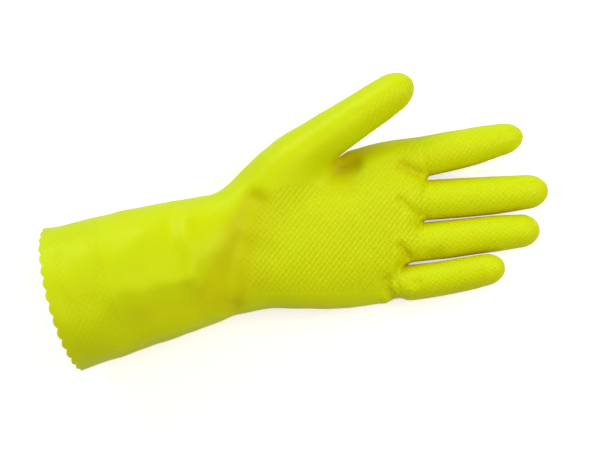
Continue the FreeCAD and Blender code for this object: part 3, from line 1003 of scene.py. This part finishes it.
def build(name, outer, inner, pattern=None):
    """One closed piece from its outer and inner surfaces."""
    rest, outer_tris, outer_fn = outer
    inner_verts, inner_tris, inner_fn = inner
    outer_verts, outer_normals = rest, unit_rows(grad(outer_fn, rest)[1])
    grip_values = np.zeros((len(rest), 3))
    if pattern:
        outer_verts, outer_normals, grip_values = engrave(rest, outer_normals, pattern)
    inner_normals = unit_rows(-grad(inner_fn, inner_verts)[1])
    verts = np.concatenate([outer_verts, inner_verts])
    inner_tris = inner_tris[:, ::-1] + len(rest)
    rim = join_rims(verts, outer_tris, inner_tris)
    tris = np.concatenate([outer_tris, inner_tris, rim])

    mesh = bpy.data.meshes.new(name)
    mesh.vertices.add(len(verts))
    mesh.vertices.foreach_set("co", (verts / 1000).astype(np.float32).ravel())
    mesh.loops.add(len(tris) * 3)
    mesh.loops.foreach_set("vertex_index", tris.astype(np.int32).ravel())
    mesh.polygons.add(len(tris))
    mesh.polygons.foreach_set("loop_start", np.arange(0, len(tris) * 3, 3, dtype=np.int32))
    mesh.polygons.foreach_set("loop_total", np.full(len(tris), 3, np.int32))
    mesh.update(calc_edges=True)
    mesh.validate(verbose=False)
    mesh.polygons.foreach_set("use_smooth", np.ones(len(mesh.polygons), bool))

    # corner normals: the field's own on both surfaces, the face's on the rim
    corner = np.concatenate([outer_normals, inner_normals])[tris].astype(np.float32)
    first, second, third = verts[rim[:, 0]], verts[rim[:, 1]], verts[rim[:, 2]]
    face = np.cross(second - first, third - first)
    face /= np.maximum(np.linalg.norm(face, axis=1), 1e-12)[:, None]
    corner[len(tris) - len(rim):] = face[:, None, :]
    # validate may drop faces, and then the corners no longer match
    if len(mesh.polygons) == len(tris):
        mesh.normals_split_custom_set(corner.reshape(-1, 3))

    # shading values: place before engraving, pattern, and fold depth (outer surface only)
    plain = np.zeros((len(inner_verts), 3))
    add_attribute(mesh, "rest_mm", "FLOAT_VECTOR", "vector", np.concatenate([rest, inner_verts]))
    add_attribute(mesh, "grip", "FLOAT_VECTOR", "vector", np.concatenate([grip_values, plain]))
    add_attribute(mesh, "fold_mm", "FLOAT", "value",
                  np.concatenate([folds(rest.T), plain[:, 0]]))
    piece = bpy.data.objects.new(name, mesh)
    scene.collection.objects.link(piece)
    return piece


made = []    # piece name, layer, object
for region in ["arm", "palm"] + DIGIT_NAMES:
    film_out = region_pieces(region, 0.0, OUTER_CELL[region])
    film_in, flock_out, flock_in = [
        region_pieces(region, depth, INNER_CELL)
        for depth in (RUBBER, RUBBER + BOND, RUBBER + BOND + FLOCK)]
    for piece in film_out:
        pattern = region
        if region == "arm":
            pattern = "cuff" if piece == "cuff" else "palm"
        film = build(piece + "_film", film_out[piece], film_in[piece], pattern)
        flock = build(piece + "_flock", flock_out[piece], flock_in[piece])
        made += [(piece, "film", film), (piece, "flock", flock)]


# ================================================================ materials
class Nodes:
    """Shorthand for a material's node tree."""
    def __init__(self, name):
        self.material = bpy.data.materials.new(name)
        self.material.use_nodes = True
        self.tree = self.material.node_tree
        self.tree.nodes.clear()

    def node(self, kind, inputs=(), **settings):
        """A node; inputs maps sockets to values or to other nodes' outputs."""
        node = self.tree.nodes.new(kind)
        count = len(self.tree.nodes) - 1
        node.location = (count % 8 * 220, -(count // 8) * 260)
        for key, value in settings.items():
            setattr(node, key, value)
        for key, value in dict(inputs).items():
            if isinstance(value, bpy.types.NodeSocket):
                self.tree.links.new(value, node.inputs[key])
            else:
                node.inputs[key].default_value = value
        return node

    def math(self, operation, *values, clamp=False):
        return self.node("ShaderNodeMath", enumerate(values), operation=operation,
                         use_clamp=clamp).outputs[0]

    def attribute(self, name, output="Vector"):
        return self.node("ShaderNodeAttribute", attribute_name=name,
                         attribute_type="GEOMETRY").outputs[output]

    def noise(self, vector, scale, detail, roughness):
        return self.node("ShaderNodeTexNoise", {
            "Vector": vector, "Scale": scale, "Detail": detail,
            "Roughness": roughness}).outputs["Fac"]

    def remap(self, value, source, target):
        """Maps the source range to the target range, clamped."""
        return self.node("ShaderNodeMapRange", enumerate((value, *source, *target)),
                         clamp=True).outputs[0]

    def mix(self, factor, first, second):
        """Colour mix; sockets 6 and 7 are the two colours."""
        return self.node("ShaderNodeMix", {"Factor": factor, 6: first, 7: second},
                         data_type="RGBA").outputs[2]

    def bump(self, height, distance, strength, normal=None):
        inputs = {"Strength": strength, "Distance": distance, "Height": height}
        if normal is not None:
            inputs["Normal"] = normal
        return self.node("ShaderNodeBump", inputs).outputs[0]

    def finish(self, shader):
        self.node("ShaderNodeOutputMaterial", {0: shader.outputs[0]})
        return self.material


def groove_mask(nodes):
    """1 along the bottoms of the engraved grooves, 0 away from them."""
    pattern = nodes.node("ShaderNodeSeparateXYZ", {0: nodes.attribute("grip")})
    bands = []
    for k in (0, 1):
        band = nodes.math("COSINE", nodes.math("MULTIPLY", pattern.outputs[k], 2 * math.pi))
        band = nodes.math("MULTIPLY_ADD", band, 0.5, 0.5)
        bands.append(nodes.math("POWER", band, 3.0))
    groove = nodes.math("MAXIMUM", bands[0], nodes.math("MULTIPLY", bands[1], 0.65))
    presence = nodes.math("MULTIPLY", pattern.outputs[2], 6.0, clamp=True)
    return nodes.math("MULTIPLY", groove, presence)


def rubber_material():
    warm, green = (0.685, 0.800, 0.000, 1), (0.650, 0.800, 0.000, 1)
    # speck is random tone; the groove, fold and shade colours are painted shade
    speck, painted_groove_shade = (0.60, 0.68, 0.0, 1), (0.56, 0.58, 0.0, 1)
    painted_fold_shade, in_shade = (0.60, 0.57, 0.0, 1), (0.62, 0.46, 0.0, 1)
    nodes = Nodes("yellow_rubber")
    rest = nodes.attribute("rest_mm")
    groove = groove_mask(nodes)
    deep = nodes.remap(nodes.attribute("fold_mm", "Fac"), (0.9, 3.0), (0.0, 1.0))
    # colour: clouds of slightly greener and warmer yellow; painted shade, darker and warmer, in the
    # grooves and folds and where nearby surfaces occlude
    cloud = nodes.noise(rest, scale=0.035, detail=3.0, roughness=0.55)
    fine = nodes.noise(rest, scale=0.45, detail=3.0, roughness=0.6)
    base = nodes.mix(nodes.remap(cloud, (0.35, 0.65), (0, 1)), warm, green)
    base = nodes.mix(nodes.remap(fine, (0.3, 0.7), (0, 0.10)), base, speck)
    # painted shade: darker, warmer yellow along the groove bottoms
    base = nodes.mix(nodes.math("MULTIPLY", groove, 0.30), base, painted_groove_shade)
    # painted shade: darker, warmer yellow in the deep folds and creases
    base = nodes.mix(nodes.math("MULTIPLY", deep, 0.55), base, painted_fold_shade)
    occlusion = nodes.node("ShaderNodeAmbientOcclusion", {"Distance": 0.018}, samples=6)
    shade = nodes.remap(occlusion.outputs["AO"], (0.25, 0.90), (0.75, 0.0))
    base = nodes.mix(shade, base, in_shade)
    # latex surface: soft orange peel, fine pores, and the grooves
    peel = nodes.noise(rest, scale=0.9, detail=3.0, roughness=0.5)
    pores = nodes.noise(rest, scale=5.5, detail=2.0, roughness=0.6)
    height = nodes.math("MULTIPLY_ADD", peel, 0.6, nodes.math("MULTIPLY", pores, 0.25))
    normal = nodes.bump(height, distance=0.00004, strength=0.55)
    groove_height = nodes.math("MULTIPLY", groove, -1.0)
    normal = nodes.bump(groove_height, distance=0.00010, strength=0.8, normal=normal)
    rough = nodes.remap(fine, (0.3, 0.7), (0.36, 0.45))
    return nodes.finish(nodes.node("ShaderNodeBsdfPrincipled", {
        "Base Color": base,
        "Roughness": nodes.math("MULTIPLY_ADD", groove, 0.10, rough),
        "Normal": normal,
        "Specular IOR Level": 0.36,
        "Specular Tint": (1.0, 1.0, 0.40, 1),
        "IOR": 1.45,
        "Sheen Weight": 0.06,
        "Sheen Roughness": 0.35,
        "Sheen Tint": (0.93, 1.0, 0.45, 1),
    }))


def flock_material():
    cream, pale, between_tufts = (0.80, 0.79, 0.40, 1), (0.84, 0.83, 0.52, 1), (0.66, 0.68, 0.16, 1)
    nodes = Nodes("cotton_flock")
    rest = nodes.attribute("rest_mm")
    tuft = nodes.noise(rest, scale=2.2, detail=4.0, roughness=0.7)
    fibre = nodes.noise(rest, scale=9.0, detail=3.0, roughness=0.7)
    patch = nodes.noise(rest, scale=0.12, detail=2.0, roughness=0.5)
    base = nodes.mix(nodes.remap(patch, (0.35, 0.65), (0, 1)), cream, pale)
    base = nodes.mix(nodes.remap(tuft, (0.35, 0.7), (0.45, 0.0)), base, between_tufts)
    height = nodes.math("ADD", nodes.math("MULTIPLY", tuft, 0.7),
                        nodes.math("MULTIPLY", fibre, 0.4))
    return nodes.finish(nodes.node("ShaderNodeBsdfPrincipled", {
        "Base Color": base,
        "Normal": nodes.bump(height, distance=0.0003, strength=0.9),
        "Roughness": 0.95,
        "Specular IOR Level": 0.1,
        "Sheen Weight": 0.6,
        "Sheen Roughness": 0.6,
    }))


def floor_material():
    """Pale diffuse floor that also glows, for the camera only."""
    nodes = Nodes("pale_floor")
    diffuse = nodes.node("ShaderNodeBsdfDiffuse", {"Color": (0.80, 0.80, 0.80, 1)})
    camera_ray = nodes.node("ShaderNodeLightPath").outputs["Is Camera Ray"]
    glow = nodes.node("ShaderNodeEmission", {
        "Color": (1, 1, 1, 1), "Strength": nodes.math("MULTIPLY", camera_ray, 0.55)})
    return nodes.finish(nodes.node("ShaderNodeAddShader",
                                   {0: diffuse.outputs[0], 1: glow.outputs[0]}))


# ================================================================ materials, and the cuff and palm hung on the frame
# per layer: material, and the word for it in the CAD node names and in the slots
LAYERS = {"film": (rubber_material(), "rubber", "rubber"),
          "flock": (flock_material(), "lining", "flock")}
# bend zones and CAD nodes whose names differ from the piece's
PIECE_ZONE = {"wrist_turn_part": "turn", "wrist_fold_part": "fold", "knuckles": "knuckle"}
PIECE_NODE = {"wrist_turn_part": "wrist", "wrist_fold_part": "wrist"}

for piece, layer, shape in made:
    material, node_word, slot = LAYERS[layer]
    shape.data.materials.append(material)
    if piece in ("cuff", "palm"):
        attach(shape, piece)
    else:
        zone = ZONE[PIECE_ZONE.get(piece, piece)]
        tuple(zone.start() / 1000)
        tuple(zone.end() / 1000)
        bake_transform(shape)
    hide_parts(PIECE_NODE.get(piece, piece) + "_" + node_word)

# ================================================================ stage (metres)
FLOOR_HALF, FLOOR_Z = 6.0, -0.0002
mesh = bpy.data.meshes.new("floor")
mesh.from_pydata([(x * FLOOR_HALF, y * FLOOR_HALF, 0)
                  for x, y in ((-1, -1), (1, -1), (1, 1), (-1, 1))], [], [(0, 1, 2, 3)])
floor = bpy.data.objects.new("floor", mesh)
floor.location = (0, 0, FLOOR_Z)
scene.collection.objects.link(floor)
floor.data.materials.append(floor_material())

# area lights: name, place, aim, size, power in watts, colour
GLOVE = (0, 0, 0.02)
LIGHTS = [
    ("key", (-0.72, 1.16, 0.76), GLOVE, (1.1, 0.8), 10.8, (0.90, 1.0, 0.96)),
    ("top", (0.12, 0.15, 1.6), GLOVE, (1.4, 1.4), 6.5, (1.0, 1.0, 0.95)),
    ("behind", (0.1, 1.5, 0.3), GLOVE, (1.2, 0.4), 1.2, (0.5, 1.0, 1.0)),
    ("finger_side", (0.50, 0.16, 0.60), (0.09, 0.01, 0.02), (0.45, 0.45), 2.3, (1.0, 0.96, 0.84)),
    ("fill", (0.3, -1.4, 1.0), GLOVE, (1.4, 0.9), 2.5, (1.0, 0.88, 0.70)),
    ("low_left", (-1.4, 0.3, 0.4), GLOVE, (0.9, 0.5), 1.5, (0.80, 1.0, 1.0)),
    ("near_left", (-0.9, -0.6, 0.9), GLOVE, (1.0, 0.8), 0.7, (1.0, 0.92, 0.78)),
]
for name, place, aim, size, power, colour in LIGHTS:
    light = bpy.data.lights.new(name, "AREA")
    light.shape = "RECTANGLE"
    light.size, light.size_y = size
    light.energy = power
    light.color = colour
    lamp = bpy.data.objects.new(name, light)
    lamp.location = place
    lamp.rotation_mode = "QUATERNION"
    lamp.rotation_quaternion = (Vector(aim) - Vector(place)).to_track_quat("-Z", "Y")
    scene.collection.objects.link(lamp)

world = bpy.data.worlds.new("soft_world")
world.use_nodes = True
background = world.node_tree.nodes["Background"]
background.inputs["Color"].default_value = (1.0, 0.80, 0.62, 1)
background.inputs["Strength"].default_value = 0.22
scene.world = world
scene.view_settings.view_transform = "Standard"
scene.view_settings.look = "None"

# the camera looks straight down, with +Y up in the view
lens = bpy.data.cameras.new("camera")
lens.sensor_width = 36
lens.lens = 83.6
lens.clip_start, lens.clip_end = 0.01, 50
camera = bpy.data.objects.new("camera", lens)
camera.location = (-0.0183, 0.0061, 0.875)
camera.rotation_euler = (0, 0, 0)
scene.collection.objects.link(camera)
scene.camera = camera
